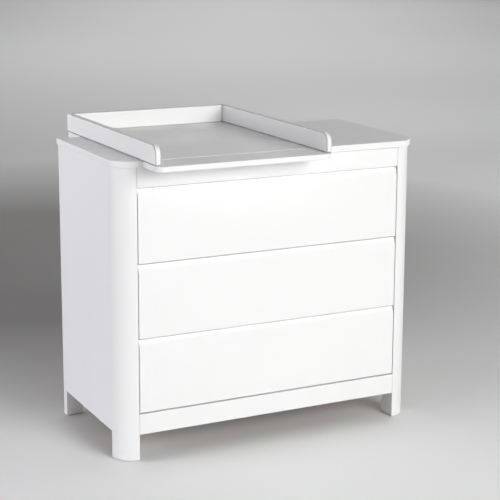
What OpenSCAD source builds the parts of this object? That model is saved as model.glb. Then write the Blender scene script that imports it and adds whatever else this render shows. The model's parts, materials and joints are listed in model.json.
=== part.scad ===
// Chest of three drawers with a lift-off changing tray.
// Units are millimetres. +Z is up and the drawers open towards -Y.
// The origin is on the floor, under the middle of the whole outline.

/* [Chest] */
// Width over the two front posts
chest_w = 965; // [850:5:1200]
// Depth from the front face to the back
chest_d = 475; // [470:5:540]
// Height of the top panel's upper face
chest_h = 870; // [840:5:960]
// Radius of the quarter-round front posts
post_r = 61; // [50:1:70]
// Width of a rear post, across the chest
rear_post_w = 52; // [45:1:60]
// Depth of a rear post
rear_post_d = 27; // [25:1:34]
// Thickness of a side panel
side_t = 18; // [16:1:22]
// Height of the side panels' lower edge
side_foot_h = 80; // [70:1:100]

/* [Top panel] */
// Thickness of the top panel
top_t = 19; // [18:1:28]
// Overhang at each side
top_over_side = 5; // [0:1:15]
// Overhang at the front
top_over_front = 12; // [2:1:25]
// Radius of the front corners
top_corner_r = 70; // [40:1:90]

/* [Rails and panels] */
// Height of the lower front rail's underside
foot_h = 78; // [70:1:100]
// Height of the lower front rail
lower_rail_h = 61; // [60:1:80]
// Height of the upper front rail
upper_rail_h = 59; // [56:1:80]
// Thickness of the front rails
rail_t = 22; // [20:1:28]
// Thickness of the rear rails
rear_rail_t = 18; // [16:1:20]
// Height of the rear rails
rear_rail_h = 60; // [55:1:80]
// Thickness of the fibreboard back
back_t = 4; // [3:0.5:6]
// Thickness of the fibreboard bottom
base_t = 5; // [3:0.5:8]

/* [Drawers] */
// Thickness of a drawer front
front_t = 19; // [18:1:22]
// Gap between one front and the next
row_gap = 3.5; // [2:0.5:5]
// Gap beside a front
side_gap = 2; // [1.5:0.5:4]
// Height of the sloped grip along the upper edge
grip_h = 22; // [10:1:30]
// Depth of the sloped grip
grip_d = 8; // [5:1:14]
// Thickness of the drawer box's sides and back
box_t = 12; // [11:1:15]
// Height of the drawer box
box_h = 150; // [120:5:155]
// Depth of the drawer box
box_d = 400; // [380:5:405]
// Thickness of the drawer bottom
box_base_t = 4; // [3:0.5:6]

/* [Runners] */
// Height of a ball-bearing runner
runner_h = 45; // [43:1:50]
// Thickness of a runner, from post to drawer box
runner_w = 12.7; // [12.5:0.1:14]
// Thickness of the runner's sheet steel
sheet_t = 1.2; // [1:0.1:1.4]

/* [Changing tray] */
// Width over the side borders
tray_w = 541; // [500:1:700]
// Distance of the tray's middle from the chest's middle
tray_x = -140; // [-140:5:140]
// How far the front board reaches ahead of the posts
tray_front = 124; // [80:1:160]
// How far the rear board reaches behind the chest
tray_rear = 129; // [90:1:160]
// Thickness of the front and rear boards
board_t = 16; // [15:1:19]
// Thickness of the borders
border_t = 16; // [15:1:22]
// Height of the borders
border_h = 55; // [50:1:90]
// Radius of the borders' upper front corners
border_r = 28; // [10:1:40]
// Radius of the two boards' outer corners
board_r = 22; // [5:1:40]
// How far the side borders stop short of the front board's edge
border_set = 15; // [5:1:30]
// How far the rear board stands out behind the rear border
rear_set = 8; // [0:1:20]
// Gap between a board and the edge of the top panel
board_gap = 3; // [1:0.5:4]
// How far the boards' faces lie below the top panel's face
board_drop = 0.5; // [0:0.5:2]
// Thickness of the anti-slip pads
pad_t = 1; // [0.5:0.5:3]

/* [Fittings] */
// Diameter of the wooden dowels
dowel_d = 8; // [6:1:8]
// Length of the wooden dowels
dowel_l = 30; // [24:1:30]
// Diameter of the foot glides
glide_d = 22; // [16:1:24]
// How far the glides hold the posts off the floor
glide_t = 2; // [1:0.5:4]
// Diameter of the two wall fixing holes in the upper rear rail
wall_fixing_d = 5; // [4:0.5:6]

/* [Hidden] */
$fn = 96;

BOTTOM = 0;
MIDDLE = 1;
TOP = 2;
LEFT = -1;
RIGHT = 1;
SIDES = [LEFT, RIGHT];
white = [0.96, 0.96, 0.97];
inner_white = [0.93, 0.93, 0.93];
brown = [0.55, 0.42, 0.30];
steel = [0.72, 0.73, 0.75];
beech = [0.85, 0.70, 0.50];
grey = [0.35, 0.35, 0.36];

// Play between a fitting and its hole, and the least gap between two bodies
play = 0.1;
air = 0.3;

// Planes of the chest. y0 is the front face and y1 the back.
y0 = -(chest_d + tray_front + tray_rear) / 2 + tray_front;
y1 = y0 + chest_d;
x_out = chest_w / 2;
x_in = x_out - post_r;
x_rear = x_out - rear_post_w;
x_panel = x_out - side_t;
z_top = chest_h - top_t;
y_post = y0 + post_r;
y_rear = y1 - rear_post_d;
y_rail = y0 + rail_t;
y_rear_rail = y1 - back_t - rear_rail_t;

// Drawer bays, counted from the lowest
bay_z0 = foot_h + lower_rail_h + row_gap / 2;
bay_h = (z_top - upper_rail_h - bay_z0) / 3;
box_lift = 20;
box_base_lift = 12;
runner_lift = 80;
function bay_z(row) = bay_z0 + row * bay_h;

// Drawer box
box_w = 2 * (x_in - runner_w - air);
y_box = y0 + front_t;
groove = 6;

// Fittings
rear_rail_lower_z = side_foot_h;
rear_rail_upper_z = z_top - rear_rail_h;
base_z = foot_h + 12;
rebate = 12;
rail_groove = 4;
cam_d = 15;
cam_reach = 34;
cam_h = 12.5;
bolt_d = 7;
bolt_bite = 11;
dowel_pitch = 36;
panel_dowel_z = [150, chest_h / 2, chest_h - 90];
post_centre = 26;
bracket_leg = 38;
bracket_w = 20;
bracket_t = 2;
bracket_x = 200;
screw_d = 4;
bracket_screw_d = 3.5;
back_screw_d = 3;

// Screws: length under the head, diameter and height of the head
short_screw = [14, 7, 1.5];
post_screw = [15, 8, 1.5];
side_screw = [10, 7, 1.5];
box_screw = [32, 7, 2];
border_screw = [36, 8, 3];
wall_fixing_x = 365;
runner_screw_y = [18, 180, 360];

// Each rail end: joint face from the middle, centre line in Y and in Z
rail_ends = [
    [x_in, y0 + rail_t / 2, foot_h + lower_rail_h / 2],
    [x_in, y0 + rail_t / 2, z_top - upper_rail_h / 2],
    [x_rear, y_rear_rail + rear_rail_t / 2, rear_rail_lower_z + rear_rail_h / 2],
    [x_rear, y_rear_rail + rear_rail_t / 2, rear_rail_upper_z + rear_rail_h / 2]
];

// The back panel leaves the middle of the upper rail bare, for the wall fixings
back_top_z = rail_ends[3][2] - 10;

// Tray planes
tray_x0 = tray_x - tray_w / 2;
tray_x1 = tray_x + tray_w / 2;
tray_z = chest_h + pad_t;
board_z = chest_h - board_drop;
board_y0 = y0 - tray_front;
board_y1 = y1 + tray_rear;
border_y0 = board_y0 + border_set;
border_y1 = board_y1 - rear_set;
board_screw_y = [30, 85];
tray_bracket_x = [-150, 150];

// ---- Shared shapes ----

// Box between two corners
module block(low, high) {
    translate(low) cube(high - low);
}

// The same shape at the left, or mirrored to the right
module at_side(side) {
    if (side == LEFT) children();
    else mirror([1, 0, 0]) children();
}

// Rod along X, Y or Z that starts at a point
module rod(from, dir, d, h) {
    turn = dir == "x" ? [0, 90, 0] : dir == "y" ? [-90, 0, 0] : [0, 0, 0];
    translate(from) rotate(turn) cylinder(d = d, h = h);
}

// Flat slab with rounded front corners, or rounded rear corners
module slab(low, high, r, at_front) {
    w = high[0] - low[0];
    d = high[1] - low[1];
    y_arc = at_front ? r : d - r;
    y_square = at_front ? r : 0;
    translate(low) linear_extrude(high[2] - low[2]) {
        translate([0, y_square]) square([w, d - r]);
        translate([r, 0]) square([w - 2 * r, d]);
        for (x = [r, w - r]) translate([x, y_arc]) circle(r);
    }
}

// Screw with a round head, which starts under its head
module screw(from, dir, size, shank = screw_d, extra = 0) {
    turn = dir == "+x" ? [0, 90, 0] : dir == "-x" ? [0, -90, 0]
         : dir == "+y" ? [-90, 0, 0] : dir == "-y" ? [90, 0, 0] : [0, 0, 0];
    reach = size[0];
    head_d = size[1];
    head_h = size[2];
    translate(from) rotate(turn) {
        translate([0, 0, -head_h]) cylinder(d = head_d + extra, h = head_h);
        cylinder(d = shank + extra, h = reach + extra);
    }
}

// ---- Fittings of the carcass, drawn once and cut once ----

module rail_dowels(extra = 0) {
    for (side = SIDES, end = rail_ends, up = SIDES)
        translate([side * end[0], end[1], end[2] + up * dowel_pitch / 2]) rotate([0, 90, 0])
            cylinder(d = dowel_d + extra, h = dowel_l + extra, center = true);
}

module panel_dowels(extra = 0) {
    for (side = SIDES, y = [y_post, y_rear], z = panel_dowel_z)
        translate([side * (x_out - side_t / 2), y, z]) rotate([90, 0, 0])
            cylinder(d = dowel_d + extra, h = dowel_l + extra, center = true);
}

module top_dowels(extra = 0) {
    for (side = SIDES, y = [y_post - post_centre, y_rear + rear_post_d / 2])
        translate([side * (x_in + post_centre), y, z_top - dowel_l + 10 - extra / 2])
            cylinder(d = dowel_d + extra, h = dowel_l + extra);
}

module carcass_dowels(extra = 0) {
    rail_dowels(extra);
    panel_dowels(extra);
    top_dowels(extra);
}

// Cams sit in the rails' inner faces; rear rails take theirs from the front
module cam_set(extra = 0) {
    for (side = SIDES, end = rail_ends) {
        front = end[1] < 0;
        y_face = front ? y_rail - cam_h : y_rear_rail - extra;
        rod([side * (end[0] - cam_reach), y_face, end[2]], "y", cam_d + extra, cam_h + extra);
    }
}

module cam_bolt_set(extra = 0) {
    reach = cam_reach - cam_d / 2 - 0.2 + bolt_bite;
    for (side = SIDES, end = rail_ends)
        at_side(side)
            rod([-end[0] - bolt_bite - extra, end[1], end[2]], "x", bolt_d + extra, reach + extra);
}

module glide_pins(extra = 0) {
    for (side = SIDES, y = [y_post - post_centre, y_rear + rear_post_d / 2])
        rod([side * (x_in + post_centre), y, glide_t - 0.01], "z", 5 + extra, 10 + extra);
}

module top_bracket_screw_set(extra = 0) {
    for (x = [-bracket_x, bracket_x]) {
        screw([x, y_rail + bracket_leg - 10, z_top - bracket_t], "z", short_screw, screw_d, extra);
        screw([x, y_rear_rail - bracket_leg + 10, z_top - bracket_t], "z", short_screw, screw_d, extra);
        screw([x, y_rail + bracket_t, z_top - bracket_leg + 10], "-y", short_screw, screw_d, extra);
        screw([x, y_rear_rail - bracket_t, z_top - bracket_leg + 10], "+y", short_screw, screw_d, extra);
    }
}

module back_screw_set(extra = 0) {
    x_post = x_rear + rebate / 2;
    z_low = rail_ends[2][2] + 10;
    z_high = rear_rail_upper_z - 10;
    pitch = (z_high - z_low) / 4;
    for (side = SIDES, step = [0 : 4])
        screw([side * x_post, y1, z_low + step * pitch], "-y", short_screw, back_screw_d, extra);
    for (x = [-215, -70, 70, 215], z = [rail_ends[2][2], rear_rail_upper_z + 10])
        screw([x, y1, z], "-y", short_screw, back_screw_d, extra);
}

// Holes for the screws of a pair of wall fixings
module wall_fixing_set(d) {
    for (side = SIDES)
        rod([side * wall_fixing_x, y_rear_rail - 1, rail_ends[3][2]], "y", d, rear_rail_t + back_t + 2);
}

module runner_screw_set(extra = 0) {
    for (side = SIDES, row = [BOTTOM : TOP], y = runner_screw_y)
        at_side(side)
            screw([-x_in + sheet_t, y_rail + y, bay_z(row) + runner_lift],
                "-x", post_screw, screw_d, extra);
}

// ---- Carcass ----

module top_panel() {
    color(white) difference() {
        slab([-x_out - top_over_side, y0 - top_over_front, z_top],
            [x_out + top_over_side, y1, chest_h], top_corner_r, true);
        top_dowels(play);
        top_bracket_screw_set(play);
    }
}

module side_panel(side) {
    color(white) difference() {
        at_side(side) block([-x_out, y_post, side_foot_h], [-x_panel, y_rear, z_top]);
        panel_dowels(play);
    }
}

module front_post(side) {
    color(white) difference() {
        at_side(side) intersection() {
            translate([-x_in, y_post, glide_t]) cylinder(r = post_r, h = z_top - glide_t);
            block([-x_out - 1, y0 - 1, 0], [-x_in, y_post, z_top + 1]);
        }
        carcass_dowels(play);
        cam_bolt_set(play);
        glide_pins(play);
        runner_screw_set(play);
    }
}

module rear_post(side) {
    color(white) difference() {
        at_side(side) block([-x_out, y_rear, glide_t], [-x_rear, y1, z_top]);
        at_side(side) block([-x_rear - rebate, y1 - back_t, rear_rail_lower_z], [0, y1 + 1, z_top + 1]);
        carcass_dowels(play);
        cam_bolt_set(play);
        glide_pins(play);
        back_screw_set(play);
    }
}

module front_rail(z_low, h) {
    color(white) difference() {
        block([-x_in, y0, z_low], [x_in, y_rail, z_low + h]);
        rail_dowels(play);
        cam_set(play);
        cam_bolt_set(play);
        top_bracket_screw_set(play);
        base_sheet(play);
    }
}

module rear_rail(z_low) {
    color(inner_white) difference() {
        block([-x_rear, y_rear_rail, z_low], [x_rear, y_rear_rail + rear_rail_t, z_low + rear_rail_h]);
        rail_dowels(play);
        cam_set(play);
        cam_bolt_set(play);
        top_bracket_screw_set(play);
        back_screw_set(play);
        base_sheet(play);
        wall_fixing_set(wall_fixing_d);
    }
}

// The bottom sheet runs in a groove of each lower rail and passes between the posts
module base_sheet(extra = 0) {
    wide = x_panel - 0.2;
    narrow = x_in - 0.5;
    translate([0, 0, base_z - extra / 2]) linear_extrude(base_t + extra) {
        translate([-narrow, y_rail - rail_groove - extra])
            square([2 * narrow, y_rear_rail - y_rail + 2 * (rail_groove + extra)]);
        translate([-wide, y_post + 0.5]) square([2 * wide, y_rear - y_post - 1]);
    }
}

module bottom_panel() {
    color(brown) base_sheet();
}

module back_panel() {
    x_edge = x_rear + rebate - 0.3;
    color(brown) difference() {
        block([-x_edge, y1 - back_t, rear_rail_lower_z + 1], [x_edge, y1, back_top_z]);
        back_screw_set(play);
    }
}

module runner_battens(side) {
    color(inner_white) difference() {
        at_side(side) for (row = [BOTTOM : TOP]) {
            z = bay_z(row) + runner_lift;
            block([-x_panel, y_post, z - runner_h / 2], [-x_in, y_rear, z + runner_h / 2]);
        }
        runner_screw_set(play);
        panel_dowels(play);
    }
}

module foot_glides() {
    color(grey) {
        for (side = SIDES, y = [y_post - post_centre, y_rear + rear_post_d / 2])
            rod([side * (x_in + post_centre), y, 0], "z", glide_d, glide_t);
        glide_pins();
    }
}

module wood_dowels() {
    color(beech) carcass_dowels();
}

module cam_locks() {
    color(steel) cam_set();
}

module cam_bolts() {
    color(steel) cam_bolt_set();
}

module top_brackets() {
    color(steel) difference() {
        for (x = [-bracket_x, bracket_x], front = [true, false]) {
            y = front ? y_rail : y_rear_rail;
            way = front ? 1 : -1;
            translate([x - bracket_w / 2, y, z_top]) mirror([0, front ? 0 : 1, 0]) {
                translate([0, 0, -bracket_leg]) cube([bracket_w, bracket_t, bracket_leg]);
                translate([0, 0, -bracket_t]) cube([bracket_w, bracket_leg, bracket_t]);
            }
        }
        top_bracket_screw_set(play);
    }
}

module top_bracket_screws() {
    color(steel) top_bracket_screw_set();
}

module back_panel_screws() {
    color(steel) back_screw_set();
}

module runner_screws() {
    color(steel) runner_screw_set();
}

// ---- Runners ----

// Channel with its web at one side and two flanges, along Y
// x_web and x_lip are distances from the post's face
module channel(x_web, x_lip, half_h) {
    x_low = min(x_web, x_lip);
    x_high = max(x_web, x_lip);
    web_x = x_web < x_lip ? x_web : x_web - sheet_t;
    translate([web_x, 0, -half_h]) cube([sheet_t, box_d, 2 * half_h]);
    for (z = [-half_h, half_h - sheet_t])
        translate([x_low, 0, z]) cube([x_high - x_low, box_d, sheet_t]);
}

// Both runners of one row, placed on the posts' inner faces
module at_runners(row) {
    for (side = SIDES)
        at_side(side) translate([-x_in, y_rail, bay_z(row) + runner_lift]) children();
}

module outer_channels(row) {
    lip = 3.5;
    x_lip = runner_w - sheet_t;
    color(steel) difference() {
        at_runners(row) {
            channel(0, x_lip, runner_h / 2);
            for (z = [-runner_h / 2, runner_h / 2 - lip])
                translate([x_lip - sheet_t, 0, z]) cube([sheet_t, box_d, lip]);
        }
        runner_screw_set(play);
    }
}

module centre_channels(row) {
    color(steel) at_runners(row) channel(4.5, 9.5, runner_h / 2 - 3);
}

module inner_channels(row) {
    color(steel) difference() {
        at_runners(row) channel(runner_w, 7, runner_h / 2 - 8);
        box_screw_set(row, play);
    }
}

// ---- Drawers ----

// Screws that hold the inner channels and the back to the box sides
module box_screw_set(row, extra = 0) {
    z = bay_z(row) + runner_lift;
    for (side = SIDES) at_side(side) {
        for (y = [60, 330])
            screw([-x_in + runner_w - sheet_t, y_rail + y, z], "+x", side_screw, screw_d, extra);
        for (lift = [-30, 40])
            screw([-box_w / 2 + 2, y_box + box_d - box_t / 2, z + lift], "+x", box_screw, screw_d, extra);
    }
}

// Cams that pull the front onto the box sides
module box_cam_set(row, extra = 0) {
    inset = 24;
    depth = 9.5;
    for (side = SIDES, z = [bay_z(row) + 60, bay_z(row) + 145]) at_side(side) {
        rod([-box_w / 2 + box_t - depth - extra, y_box + inset, z], "x", cam_d + extra, depth + extra);
        rod([-box_w / 2 + box_t / 2, y_box - bolt_bite - extra, z], "y",
            6 + extra, bolt_bite + inset - cam_d / 2 - 0.3 + extra);
    }
}

module drawer_base(row, extra = 0) {
    x = box_w / 2 - box_t + groove;
    z = bay_z(row) + box_lift + box_base_lift;
    block([-x - extra, y_box - groove - extra, z - extra / 2],
        [x + extra, y_box + box_d, z + box_base_t + extra / 2]);
}

module drawer_front(row) {
    h = bay_h - row_gap;
    color(white) difference() {
        translate([x_in - side_gap, y0, bay_z(row) + row_gap / 2]) rotate([90, 0, -90])
            linear_extrude(2 * (x_in - side_gap))
                polygon([[0, 0], [-front_t, 0], [-front_t, h], [-grip_d, h], [0, h - grip_h]]);
        drawer_base(row, play);
        box_cam_set(row, play);
    }
}

module drawer_side(row, side) {
    z = bay_z(row) + box_lift;
    color(inner_white) difference() {
        at_side(side) block([-box_w / 2, y_box, z], [-box_w / 2 + box_t, y_box + box_d, z + box_h]);
        drawer_base(row, play);
        box_cam_set(row, play);
        box_screw_set(row, play);
    }
}

module drawer_back(row) {
    x = box_w / 2 - box_t;
    z = bay_z(row) + box_lift;
    y = y_box + box_d;
    color(inner_white) difference() {
        block([-x, y - box_t, z + box_base_lift + box_base_t], [x, y, z + box_h]);
        box_screw_set(row, play);
    }
}

module drawer_bottom(row) {
    color(inner_white) drawer_base(row);
}

module drawer_fittings(row) {
    color(steel) {
        box_screw_set(row);
        box_cam_set(row);
    }
}

// ---- Changing tray ----

module tray_dowel_set(extra = 0) {
    bite = border_t - 5;
    for (x = [tray_x0 + border_t - bite, tray_x1 - border_t - dowel_l + bite], z = [16, 38])
        rod([x - extra / 2, border_y1 - border_t / 2, tray_z + z], "x", dowel_d + extra, dowel_l + extra);
}

module tray_screw_set(extra = 0) {
    z = board_z - board_t;
    head_h = border_screw[2];
    for (x = [tray_x0 + border_t / 2, tray_x1 - border_t / 2], y = board_screw_y) {
        screw([x, board_y0 + y, z + head_h], "z", border_screw, screw_d, extra);
        screw([x, border_y1 - y, z + head_h], "z", border_screw, screw_d, extra);
    }
    for (x = [-100, 100])
        screw([tray_x + x, border_y1 - border_t / 2, z + head_h], "z", border_screw, screw_d, extra);
    for (x = tray_bracket_x)
        screw([tray_x + x, y1 + 20, z - bracket_t], "z", short_screw, bracket_screw_d, extra);
}

module side_border(x) {
    long = border_y1 - border_y0;
    color(white) difference() {
        translate([x, border_y0, tray_z]) rotate([90, 0, 90]) linear_extrude(border_t)
            intersection() {
                square([long, border_h]);
                union() {
                    translate([border_r, 0]) square([long, border_h]);
                    square([border_r + 1, border_h - border_r]);
                    translate([border_r, border_h - border_r]) circle(border_r);
                }
            }
        tray_dowel_set(play);
        tray_screw_set(play);
    }
}

module tray_rear_border() {
    color(white) difference() {
        block([tray_x0 + border_t, border_y1 - border_t, board_z],
            [tray_x1 - border_t, border_y1, tray_z + border_h]);
        tray_dowel_set(play);
        tray_screw_set(play);
    }
}

module tray_front_board() {
    color(white) difference() {
        slab([tray_x0, board_y0, board_z - board_t],
            [tray_x1, y0 - top_over_front - board_gap, board_z], board_r, true);
        tray_screw_set(play);
    }
}

module tray_rear_board() {
    color(white) difference() {
        slab([tray_x0, y1 + board_gap, board_z - board_t], [tray_x1, board_y1, board_z], board_r, false);
        tray_screw_set(play);
    }
}

// Angles under the rear board that screw to the back of the chest
module tray_brackets() {
    y = y1 + 0.4;
    z = board_z - board_t;
    color(steel) difference() {
        for (x = tray_bracket_x) translate([tray_x + x - bracket_w / 2, y, z]) {
            translate([0, 0, -bracket_leg]) cube([bracket_w, bracket_t, bracket_leg]);
            translate([0, 0, -bracket_t]) cube([bracket_w, bracket_leg - 6, bracket_t]);
        }
        for (x = tray_bracket_x)
            rod([tray_x + x, y - 1, z - bracket_leg + 10], "y", 5, bracket_t + 2);
        tray_screw_set(play);
    }
}

// Strips under the side borders: three on the top panel and one on each board
module tray_pads() {
    pad_w = 12;
    x_pads = [tray_x0 + border_t / 2, tray_x1 - border_t / 2];
    y_spacer = (board_screw_y[0] + board_screw_y[1]) / 2;
    color(grey) for (x = x_pads) {
        for (y = [0.08, 0.5, 0.92])
            translate([x - pad_w / 2, y0 + y * chest_d - 20, chest_h]) cube([pad_w, 40, pad_t]);
        for (y = [board_y0 + y_spacer, border_y1 - y_spacer])
            translate([x - pad_w / 2, y - 15, board_z]) cube([pad_w, 30, tray_z - board_z]);
    }
}

module tray_screws() {
    color(steel) tray_screw_set();
}

module tray_dowels() {
    color(beech) tray_dowel_set();
}

// ---- Nodes ----

top_panel();
side_panel(LEFT);  // left_side_panel
side_panel(RIGHT);  // right_side_panel
front_post(LEFT);  // left_front_post
front_post(RIGHT);  // right_front_post
rear_post(LEFT);  // left_rear_post
rear_post(RIGHT);  // right_rear_post
front_rail(z_top - upper_rail_h, upper_rail_h);  // upper_front_rail
front_rail(foot_h, lower_rail_h);  // lower_front_rail
rear_rail(rear_rail_upper_z);  // upper_rear_rail
rear_rail(rear_rail_lower_z);  // lower_rear_rail
bottom_panel();
back_panel();
runner_battens(LEFT);  // left_runner_battens
runner_battens(RIGHT);  // right_runner_battens
foot_glides();
wood_dowels();
cam_locks();
cam_bolts();
top_brackets();
top_bracket_screws();
back_panel_screws();
runner_screws();
outer_channels(TOP);  // top_outer_channels
outer_channels(MIDDLE);  // middle_outer_channels
outer_channels(BOTTOM);  // bottom_outer_channels
centre_channels(TOP);  // top_centre_channels
centre_channels(MIDDLE);  // middle_centre_channels
centre_channels(BOTTOM);  // bottom_centre_channels
inner_channels(TOP);  // top_inner_channels
inner_channels(MIDDLE);  // middle_inner_channels
inner_channels(BOTTOM);  // bottom_inner_channels
drawer_front(TOP);  // top_drawer_front
drawer_front(MIDDLE);  // middle_drawer_front
drawer_front(BOTTOM);  // bottom_drawer_front
drawer_side(TOP, LEFT);  // top_drawer_left_side
drawer_side(MIDDLE, LEFT);  // middle_drawer_left_side
drawer_side(BOTTOM, LEFT);  // bottom_drawer_left_side
drawer_side(TOP, RIGHT);  // top_drawer_right_side
drawer_side(MIDDLE, RIGHT);  // middle_drawer_right_side
drawer_side(BOTTOM, RIGHT);  // bottom_drawer_right_side
drawer_back(TOP);  // top_drawer_back
drawer_back(MIDDLE);  // middle_drawer_back
drawer_back(BOTTOM);  // bottom_drawer_back
drawer_bottom(TOP);  // top_drawer_bottom
drawer_bottom(MIDDLE);  // middle_drawer_bottom
drawer_bottom(BOTTOM);  // bottom_drawer_bottom
drawer_fittings(TOP);  // top_drawer_fittings
drawer_fittings(MIDDLE);  // middle_drawer_fittings
drawer_fittings(BOTTOM);  // bottom_drawer_fittings
side_border(tray_x0);  // tray_left_border
side_border(tray_x1 - border_t);  // tray_right_border
tray_rear_border();
tray_front_board();
tray_rear_board();
tray_dowels();
tray_screws();
tray_brackets();
tray_pads();
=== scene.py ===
"""Looks of the changing table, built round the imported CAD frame. Metres, +Z up, -Y is the front."""
import json
from math import cos, radians, sin

import bmesh
import bpy
from mathutils import Euler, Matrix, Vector


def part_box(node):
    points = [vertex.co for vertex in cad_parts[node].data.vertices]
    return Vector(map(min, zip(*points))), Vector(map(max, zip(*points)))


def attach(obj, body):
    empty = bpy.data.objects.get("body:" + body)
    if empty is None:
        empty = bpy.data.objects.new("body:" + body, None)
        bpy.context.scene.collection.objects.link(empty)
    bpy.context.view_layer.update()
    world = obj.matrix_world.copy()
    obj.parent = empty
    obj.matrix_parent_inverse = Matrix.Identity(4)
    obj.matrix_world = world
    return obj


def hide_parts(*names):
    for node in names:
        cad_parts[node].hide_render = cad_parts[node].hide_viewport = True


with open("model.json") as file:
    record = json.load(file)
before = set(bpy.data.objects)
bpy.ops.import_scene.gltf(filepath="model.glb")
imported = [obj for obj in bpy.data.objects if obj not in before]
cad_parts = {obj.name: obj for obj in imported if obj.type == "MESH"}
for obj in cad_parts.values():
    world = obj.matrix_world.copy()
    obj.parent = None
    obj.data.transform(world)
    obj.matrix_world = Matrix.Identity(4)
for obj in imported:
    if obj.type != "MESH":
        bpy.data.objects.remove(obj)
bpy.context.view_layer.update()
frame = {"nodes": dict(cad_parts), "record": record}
scene = bpy.context.scene
MM = 0.001


# ---------------------------------------------------------------- materials

class Finish:
    """A node material: a Principled shader and short calls that add what drives it."""

    def __init__(self, name, **fixed):
        self.material = bpy.data.materials.new(name)
        self.material.use_nodes = True
        self.nodes = self.material.node_tree.nodes
        self.links = self.material.node_tree.links
        self.shader = self.nodes["Principled BSDF"]
        for socket, value in fixed.items():
            self.shader.inputs[socket.replace("_", " ")].default_value = value
        self.place = self.nodes.new("ShaderNodeTexCoord").outputs["Object"]
        self.last_normal = None

    def add(self, kind, inputs=None, **settings):
        """Adds a shader node. Each input is a value, or a socket to link from."""
        node = self.nodes.new("ShaderNode" + kind)
        for key, value in settings.items():
            setattr(node, key, value)
        for key, value in (inputs or {}).items():
            if isinstance(value, bpy.types.NodeSocket):
                self.links.new(value, node.inputs[key])
            else:
                node.inputs[key].default_value = value
        return node

    def stretched(self, scale):
        """Object coordinates multiplied along each axis."""
        return self.add("Mapping", {"Vector": self.place, "Scale": scale}).outputs["Vector"]

    def noise(self, scale, detail=3.0, roughness=0.5, place=None, distortion=0.0):
        node = self.add("TexNoise", {"Vector": place or self.place, "Scale": scale, "Detail": detail,
                                     "Roughness": roughness, "Distortion": distortion})
        return node.outputs["Fac"]

    def spread(self, value, low, high, to_low=0.0, to_high=1.0):
        """Maps low..high of a value to to_low..to_high, and clamps it."""
        node = self.add("MapRange", {"Value": value, "From Min": low, "From Max": high,
                                     "To Min": to_low, "To Max": to_high})
        return node.outputs["Result"]

    def mixed(self, factor, first, second):
        """A colour between two colours, by a factor from 0 to 1."""
        node = self.add("Mix", {"Factor": factor}, data_type="RGBA")
        # Inputs 6 and 7 and output 2 are the node's colour sockets
        for socket, value in ((node.inputs[6], first), (node.inputs[7], second)):
            if isinstance(value, bpy.types.NodeSocket):
                self.links.new(value, socket)
            else:
                socket.default_value = (*value, 1.0)
        return node.outputs[2]

    def product(self, first, second):
        return self.add("Math", {0: first, 1: second}, operation="MULTIPLY").outputs[0]

    def colour(self, socket):
        self.links.new(socket, self.shader.inputs["Base Color"])

    def roughness(self, socket):
        self.links.new(socket, self.shader.inputs["Roughness"])

    def bump(self, height, depth):
        """Adds relief whose full range is depth metres."""
        inputs = {"Height": height, "Distance": depth}
        if self.last_normal is not None:
            inputs["Normal"] = self.last_normal
        self.last_normal = self.add("Bump", inputs).outputs["Normal"]
        self.links.new(self.last_normal, self.shader.inputs["Normal"])


def lacquer(name, white, rub, peel):
    """Sprayed satin lacquer on fibreboard: long waves, fine orange peel of the depth given, and rubbed
    patches. Its arrises get painted shade, a mid grey that stands in for the shade along edges and
    seams, and wear warms them."""
    painted_edge_shade, dust = (0.36, 0.36, 0.37), (0.78, 0.77, 0.74)
    cool = tuple(0.988 * part for part in white)
    warm = (white[0] * 0.965, white[1] * 0.955, white[2] * 0.925)
    look = Finish(name, IOR=1.5)
    patches = look.spread(look.noise(2.3, 4.0, 0.55), 0.3, 0.7)
    specks = look.spread(look.noise(900.0, 2.0), 0.66, 0.74)
    arris = look.add("Attribute", attribute_name="arris").outputs["Fac"]
    worn = look.product(arris, look.spread(look.noise(28.0, 4.0, 0.6), 0.35, 0.75))
    tone = look.mixed(patches, cool, white)
    tone = look.mixed(look.product(specks, 0.25), tone, dust)
    # Painted shade: arrises mixed towards mid grey by the share their board gives, for the shade along
    # edges and seams
    tone = look.mixed(look.product(arris, 0.8), tone, painted_edge_shade)
    look.colour(look.mixed(look.product(worn, 0.4), tone, warm))
    streaks = look.noise(9.0, 5.0, 0.6, look.stretched((1.0, 1.0, 0.35)))
    sheen = look.spread(streaks, 0.25, 0.75, rub - 0.05, rub + 0.07)
    look.roughness(look.spread(worn, 0.0, 1.0, sheen, rub - 0.12))
    look.bump(look.noise(5.0, 1.0), 1.2 * MM)
    look.bump(look.noise(420.0, 2.0, 0.4), peel)
    return look.material


def foil_board(name):
    """White foil on particle board, with a shallow printed pore."""
    white, pore, aged = (0.80, 0.80, 0.79), (0.74, 0.74, 0.725), (0.83, 0.82, 0.79)
    look = Finish(name, IOR=1.46)
    pores = look.noise(26.0, 6.0, 0.65, look.stretched((5.0, 1.0, 30.0)))
    tone = look.mixed(look.spread(pores, 0.35, 0.7), white, pore)
    look.colour(look.mixed(look.spread(look.noise(3.0), 0.3, 0.7, 0.0, 0.3), tone, aged))
    look.roughness(look.spread(pores, 0.3, 0.7, 0.44, 0.58))
    look.bump(look.noise(620.0, 3.0, 0.6), 0.06 * MM)
    look.bump(pores, 0.12 * MM)
    return look.material


def hardboard(name):
    """Raw brown hardboard: pressed fibres, darker lumps and a dull face."""
    brown, pale, dark = (0.205, 0.128, 0.075), (0.345, 0.235, 0.145), (0.155, 0.095, 0.055)
    look = Finish(name, IOR=1.4)
    fibres = look.noise(240.0, 8.0, 0.75, distortion=1.2)
    lumps = look.noise(34.0, 4.0, 0.6)
    tone = look.mixed(look.spread(fibres, 0.3, 0.7), brown, pale)
    look.colour(look.mixed(look.spread(lumps, 0.35, 0.75, 0.0, 0.5), tone, dark))
    look.roughness(look.spread(fibres, 0.3, 0.7, 0.62, 0.85))
    look.bump(fibres, 0.25 * MM)
    return look.material


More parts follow.
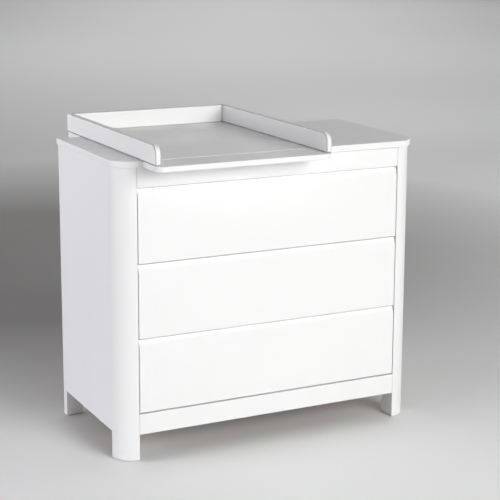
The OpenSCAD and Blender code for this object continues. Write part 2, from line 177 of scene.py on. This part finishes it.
def zinc(name, tint, rub, grain):
    """Bright zinc plate, drawn along the runner, with faint bluish bloom."""
    bluish, dull = (tint[0] * 0.86, tint[1] * 0.9, tint[2] * 0.98), (0.42, 0.42, 0.43)
    look = Finish(name, Metallic=1.0)
    drawn = look.noise(90.0, 4.0, 0.6, look.stretched(grain))
    bloom = look.spread(look.noise(26.0, 3.0), 0.35, 0.7)
    tone = look.mixed(bloom, tint, bluish)
    look.colour(look.mixed(look.spread(drawn, 0.3, 0.7, 0.0, 0.35), tone, dull))
    look.roughness(look.spread(drawn, 0.25, 0.75, rub - 0.08, rub + 0.12))
    look.bump(drawn, 0.05 * MM)
    return look.material


def beech(name):
    """Turned beech dowel: straight grain with short dark flecks."""
    dark, pale, fleck = (0.62, 0.42, 0.25), (0.76, 0.58, 0.38), (0.40, 0.24, 0.13)
    look = Finish(name, IOR=1.45)
    grain = look.noise(60.0, 6.0, 0.6, look.stretched((0.6, 8.0, 8.0)), 0.4)
    flecks = look.spread(look.noise(420.0, 2.0, 0.5, look.stretched((0.25, 1.0, 1.0))), 0.6, 0.72)
    tone = look.mixed(look.spread(grain, 0.3, 0.7), dark, pale)
    look.colour(look.mixed(look.product(flecks, 0.6), tone, fleck))
    look.roughness(look.spread(grain, 0.3, 0.7, 0.5, 0.7))
    look.bump(grain, 0.2 * MM)
    return look.material


def moulded(name, dark, pale, rub, depth):
    """Moulded plastic or rubber: spark-eroded texture and dusty patches."""
    dusty = tuple(0.5 * (part + 0.6) for part in pale)
    look = Finish(name, IOR=1.48)
    eroded = look.noise(1500.0, 3.0, 0.6)
    dust = look.spread(look.noise(60.0, 4.0, 0.6), 0.45, 0.75)
    tone = look.mixed(look.spread(eroded, 0.3, 0.7), dark, pale)
    look.colour(look.mixed(look.product(dust, 0.35), tone, dusty))
    look.roughness(look.spread(eroded, 0.3, 0.7, rub - 0.08, rub + 0.1))
    look.bump(eroded, depth)
    return look.material


WHITE = (0.878, 0.878, 0.875)
FINISH = {
    "white_lacquer": lacquer("satin_lacquer", WHITE, 0.36, 0.03 * MM),
    "inner_board": foil_board("foil_board"),
    "brown_fibreboard": hardboard("hardboard"),
    "zinc_steel": zinc("zinc_sheet", (0.74, 0.755, 0.77), 0.28, (6.0, 0.25, 6.0)),
    "beech": beech("beech_dowel"),
    "grey_plastic": moulded("glide_plastic", (0.09, 0.09, 0.095), (0.14, 0.14, 0.145), 0.5, 0.08 * MM),
    "grey_rubber": moulded("pad_rubber", (0.20, 0.20, 0.205), (0.27, 0.27, 0.275), 0.75, 0.12 * MM),
}
SLOT = {part["node"]: part["material_slot"] for part in frame["record"]["subparts"]}


# ---------------------------------------------------------------- shapes

# For each axis that an outline is pushed along: the outline's two axes, then the axis itself
AXES = {"x": (1, 2, 0), "y": (2, 0, 1), "z": (0, 1, 2)}
SHARP = radians(40)


def arc(centre, radius, start, end, steps):
    """Points of an arc in degrees, ends included."""
    turns = [radians(start + (end - start) * step / steps) for step in range(steps + 1)]
    return [(centre[0] + radius * cos(turn), centre[1] + radius * sin(turn)) for turn in turns]


def rectangle(low, high):
    return [(low[0], low[1]), (high[0], low[1]), (high[0], high[1]), (low[0], high[1])]


def push(shape, outline, axis, levels):
    """Adds the solid that an outline sweeps along an axis between two levels."""
    across, up, along = AXES[axis]
    rings = []
    for level in levels:
        ring = []
        for point in outline:
            corner = [0.0, 0.0, 0.0]
            corner[across], corner[up], corner[along] = point[0], point[1], level
            ring.append(shape.verts.new(corner))
        rings.append(ring)
    first, last = rings
    shape.faces.new(reversed(first))
    shape.faces.new(last)
    for here in range(len(outline)):
        after = (here + 1) % len(outline)
        shape.faces.new((first[here], first[after], last[after], last[here]))
    bmesh.ops.recalc_face_normals(shape, faces=shape.faces)


def prism(name, node, axis, outline, arris, body, short=0.0, edge_shade_and_wear=1.0):
    """A board: its outline pushed along an axis over the CAD node's extent, with every arris rounded.
    It stands for the node, and stops short of it at both ends by the width given. Its rounded arrises
    get painted shade, a darker grey for the shade along edges and seams, by the share given, which
    also scales their wear."""
    low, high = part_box(node)
    along = AXES[axis][2]
    mesh = bpy.data.meshes.new(name)
    shape = bmesh.new()
    layer = shape.faces.layers.float.new("arris")
    push(shape, outline, axis, (low[along] + short, high[along] - short))
    sharp = [edge for edge in shape.edges if edge.calc_face_angle() > SHARP]
    rounded = bmesh.ops.bevel(shape, geom=sharp, offset=arris, offset_type="OFFSET", segments=4,
                              profile=0.5, affect="EDGES", clamp_overlap=True)
    # Painted shade: the rounded faces store the share of painted edge shade, which also scales their wear
    for face in rounded["faces"]:
        face[layer] = edge_shade_and_wear
    for face in shape.faces:
        face.smooth = True
    shape.to_mesh(mesh)
    shape.free()
    piece = bpy.data.objects.new(name, mesh)
    scene.collection.objects.link(piece)
    weigh_normals(piece)
    mesh.materials.append(FINISH[SLOT[node]])
    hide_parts(node)
    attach(piece, body)


def weigh_normals(piece):
    """Keeps flat faces flat beside rounded arrises."""
    normals = piece.modifiers.new("normals", "WEIGHTED_NORMAL")
    normals.weight = 100


def soften(node, width):
    """Rounds a CAD node's edges with modifiers, its mesh as packed."""
    part = frame["nodes"][node]
    weld = part.modifiers.new("weld", "WELD")
    weld.merge_threshold = 0.02 * MM
    bevel = part.modifiers.new("arris", "BEVEL")
    bevel.width = width
    bevel.segments = 2
    bevel.limit_method = "ANGLE"
    bevel.angle_limit = SHARP
    bevel.harden_normals = False
    weigh_normals(part)


def paint(node):
    part = frame["nodes"][node]
    part.data.materials.clear()
    part.data.materials.append(FINISH[SLOT[node]])


# ---------------------------------------------------------------- boards of the chest and the tray

PANEL_ARRIS = 1.5 * MM
FRONT_ARRIS = 1.2 * MM
POST_ARRIS = 0.9 * MM
RAIL_ARRIS = 0.6 * MM
BORDER_ARRIS = 2.5 * MM
RAIL_GAP = 0.4 * MM


def top_panel():
    """Top panel with two rounded front corners."""
    low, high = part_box("top_panel")
    radius = 70 * MM
    outline = [(low.x, high.y)]
    outline += arc((low.x + radius, low.y + radius), radius, 180, 270, 40)
    outline += arc((high.x - radius, low.y + radius), radius, 270, 360, 40)
    outline += [(high.x, high.y)]
    prism("top_board", "top_panel", "z", outline, PANEL_ARRIS, "chest", edge_shade_and_wear=0.2)


def front_post(side):
    """Quarter-round post, its curve outwards."""
    node = side + "_front_post"
    low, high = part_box(node)
    radius = high.y - low.y
    if side == "left":
        outline = arc((high.x, high.y), radius, 180, 270, 48) + [(high.x, high.y)]
    else:
        outline = arc((low.x, high.y), radius, 270, 360, 48) + [(low.x, high.y)]
    prism(side + "_round_post", node, "z", outline, POST_ARRIS, "chest", edge_shade_and_wear=0.3)


def plain_board(name, node, arris, body, axis="x", short=0.0, edge_shade_and_wear=1.0):
    """Board with four square corners."""
    low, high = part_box(node)
    across, up, _ = AXES[axis]
    outline = rectangle((low[across], low[up]), (high[across], high[up]))
    prism(name, node, axis, outline, arris, body, short, edge_shade_and_wear)


def drawer_front(row):
    """Flush front whose upper edge slopes back as a grip."""
    node = row + "_drawer_front"
    low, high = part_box(node)
    grip_height, grip_depth = 22 * MM, 8 * MM
    outline = [(low.y, low.z), (high.y, low.z), (high.y, high.z),
               (low.y + grip_depth, high.z), (low.y, high.z - grip_height)]
    prism(row + "_grip_front", node, "x", outline, FRONT_ARRIS, row + "_drawer", edge_shade_and_wear=0.3)


def side_border(side):
    """Tray border with its upper front corner rounded."""
    node = "tray_" + side + "_border"
    low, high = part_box(node)
    radius = 28 * MM
    outline = [(low.y, low.z), (high.y, low.z), (high.y, high.z)]
    outline += arc((low.y + radius, high.z - radius), radius, 90, 180, 24)
    prism(side + "_tray_border", node, "x", outline, BORDER_ARRIS, "tray")


def tray_board(name, node, at_front):
    """Board ahead of or behind the top panel, its outer corners rounded."""
    low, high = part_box(node)
    radius = 22 * MM
    left, right = low.x + radius, high.x - radius
    if at_front:
        outline = [(low.x, high.y)] + arc((left, low.y + radius), radius, 180, 270, 20)
        outline += arc((right, low.y + radius), radius, 270, 360, 20) + [(high.x, high.y)]
    else:
        outline = [(low.x, low.y), (high.x, low.y)] + arc((right, high.y - radius), radius, 0, 90, 20)
        outline += arc((left, high.y - radius), radius, 90, 180, 20)
    prism(name, node, "z", outline, PANEL_ARRIS, "tray", edge_shade_and_wear=0.2)


top_panel()
for side in ("left", "right"):
    front_post(side)
    plain_board(side + "_side_board", side + "_side_panel", POST_ARRIS, "chest", edge_shade_and_wear=0.1)
    side_border(side)
plain_board("upper_rail", "upper_front_rail", RAIL_ARRIS, "chest", short=RAIL_GAP)
plain_board("lower_rail", "lower_front_rail", RAIL_ARRIS, "chest", short=RAIL_GAP)
plain_board("rear_tray_border", "tray_rear_border", BORDER_ARRIS, "tray", "y")
tray_board("front_tray_board", "tray_front_board", True)
tray_board("rear_tray_board", "tray_rear_board", False)
for row in ("top", "middle", "bottom"):
    drawer_front(row)

# Every other node keeps its CAD shape, and most get their edges rounded by this width
SOFT_EDGES = {"inner_board": 0.7 * MM, "white_lacquer": 1.0 * MM, "zinc_steel": 0.3 * MM,
              "brown_fibreboard": 0.4 * MM, "grey_plastic": 0.5 * MM}
for node, slot in SLOT.items():
    if frame["nodes"][node].hide_render:
        continue
    paint(node)
    if slot in SOFT_EDGES:
        soften(node, SOFT_EDGES[slot])


# ---------------------------------------------------------------- floor, light and camera

def floor():
    """Pale studio floor, with one wide and very soft patch of painted shade behind the object, standing
    in for the shadow and the fall-off of light there.
    """
    pale, dark = (0.955, 0.96, 0.955), (0.345, 0.335, 0.33)
    painted_shade_centre, reach = (0.05, 2.25), (2.45, 2.25)
    core, rim = 0.45, 1.2
    size = 60.0
    mesh = bpy.data.meshes.new("studio_floor")
    corners = [(x, y, 0.0) for x, y in rectangle((-size, -size), (size, size))]
    mesh.from_pydata(corners, [], [(0, 1, 2, 3)])
    ground = bpy.data.objects.new("studio_floor", mesh)
    scene.collection.objects.link(ground)
    look = Finish("studio_floor", IOR=1.45, Specular_IOR_Level=0.25)
    in_reaches = look.stretched((1 / reach[0], 1 / reach[1], 1.0))
    centre = (painted_shade_centre[0] / reach[0], painted_shade_centre[1] / reach[1], 0.0)
    from_painted_shade = look.add("VectorMath", {0: in_reaches, 1: centre}, operation="DISTANCE").outputs["Value"]
    # Painted shade: the floor colour runs from dark grey at the patch's core to pale beyond its rim
    look.colour(look.mixed(look.spread(from_painted_shade, core, rim), dark, pale))
    look.roughness(look.spread(look.noise(3.0), 0.3, 0.7, 0.55, 0.65))
    mesh.materials.append(look.material)


def soft_light(name, place, target, size, power, tint=(1.0, 1.0, 1.0), spread=180):
    """An area lamp that the camera doesn't see. Its spread is the angle of its grid, in degrees."""
    data = bpy.data.lights.new(name, "AREA")
    data.shape = "RECTANGLE"
    data.size, data.size_y = size
    data.energy = power
    data.color = tint
    data.spread = radians(spread)
    lamp = bpy.data.objects.new(name, data)
    lamp.visible_camera = False
    lamp.location = place
    lamp.rotation_euler = (Vector(target) - Vector(place)).to_track_quat("-Z", "Y").to_euler()
    scene.collection.objects.link(lamp)


def wash(name, x, y, power, height=5.5, size=9.0, spread=180):
    """A square lamp that shines down on the floor, a hair off the vertical."""
    soft_light(name, (x, y, height), (x, y + 0.01, 0.0), (size, size), power, spread=spread)


def lamps():
    """Two gridded keys high in front, weak lamps at the sides and rear, and washes for the floor."""
    chest, above = (0.0, 0.0, 0.5), (0.0, 0.0, 1.05)
    soft_light("key", place=(2.0, -6.2, 3.1), target=above, size=(3.6, 2.8), power=29.3,
               tint=(1.0, 0.999, 0.99), spread=60)
    soft_light("low_key", place=(0.3, -6.0, 2.0), target=above, size=(4.2, 2.0), power=19.4, spread=60)
    soft_light("left_side", place=(-4.5, 0.4, 1.2), target=chest, size=(2.4, 2.0), power=16.5,
               tint=(0.93, 0.915, 1.0), spread=90)
    soft_light("left_back", place=(-3.0, 1.5, 1.4), target=chest, size=(1.6, 1.6), power=5.7,
               tint=(0.96, 0.95, 1.0), spread=100)
    soft_light("rear_left", place=(-2.4, 5.5, 1.3), target=chest, size=(3.0, 1.6), power=19.0, spread=100)
    soft_light("rear_right", place=(5.0, 2.6, 1.3), target=chest, size=(2.6, 1.6), power=12.0, spread=100)
    soft_light("front_floor", place=(0.2, -2.2, 4.5), target=(0.2, -1.5, 0.0), size=(2.5, 1.0),
               power=2.8, spread=45)
    wash("behind_right", x=3.8, y=4.6, power=6.5, height=4.5, size=3.0, spread=70)
    wash("far_wash", x=5.0, y=10.0, power=218.0)
    wash("horizon_wash", x=9.5, y=19.0, power=241.0)
    wash("near_wash", x=0.0, y=-13.0, power=120.0)
    wash("right_wash", x=11.0, y=-1.0, power=40.0)
    wash("left_wash", x=-11.0, y=-1.0, power=70.0)


def world_light():
    """Dim light from all round the studio, a little stronger from above."""
    world = bpy.data.worlds.new("studio")
    world.use_nodes = True
    tree = world.node_tree
    back = tree.nodes["Background"]
    place = tree.nodes.new("ShaderNodeTexCoord")
    parts = tree.nodes.new("ShaderNodeSeparateXYZ")
    ramp = tree.nodes.new("ShaderNodeValToRGB")
    tree.links.new(place.outputs["Generated"], parts.inputs[0])
    tree.links.new(parts.outputs["Z"], ramp.inputs["Fac"])
    tree.links.new(ramp.outputs["Color"], back.inputs["Color"])
    stops = ramp.color_ramp.elements
    stops[0].position, stops[0].color = 0.0, (0.12, 0.12, 0.121, 1.0)
    stops[1].position, stops[1].color = 0.6, (0.14, 0.14, 0.141, 1.0)
    middle = stops.new(0.25)
    middle.color = (0.128, 0.128, 0.129, 1.0)
    scene.world = world


def camera():
    """Long lens from the front left, a little above the top panel, with a small downward shift."""
    data = bpy.data.cameras.new("camera")
    data.lens = 103.1
    data.sensor_width = 36.0
    data.shift_y = -0.08
    eye = bpy.data.objects.new("camera", data)
    eye.location = (-1.872, -3.833, 1.528)
    yaw, pitch, roll = radians(26.586), radians(11.631), radians(0.233)
    ahead = Vector((sin(yaw) * cos(pitch), cos(yaw) * cos(pitch), -sin(pitch)))
    turn = ahead.to_track_quat("-Z", "Y").to_matrix() @ Euler((0, 0, roll)).to_matrix()
    eye.rotation_euler = turn.to_euler()
    scene.collection.objects.link(eye)
    scene.camera = eye


floor()
world_light()
lamps()
camera()
scene.view_settings.view_transform = "Standard"
scene.view_settings.look = "None"
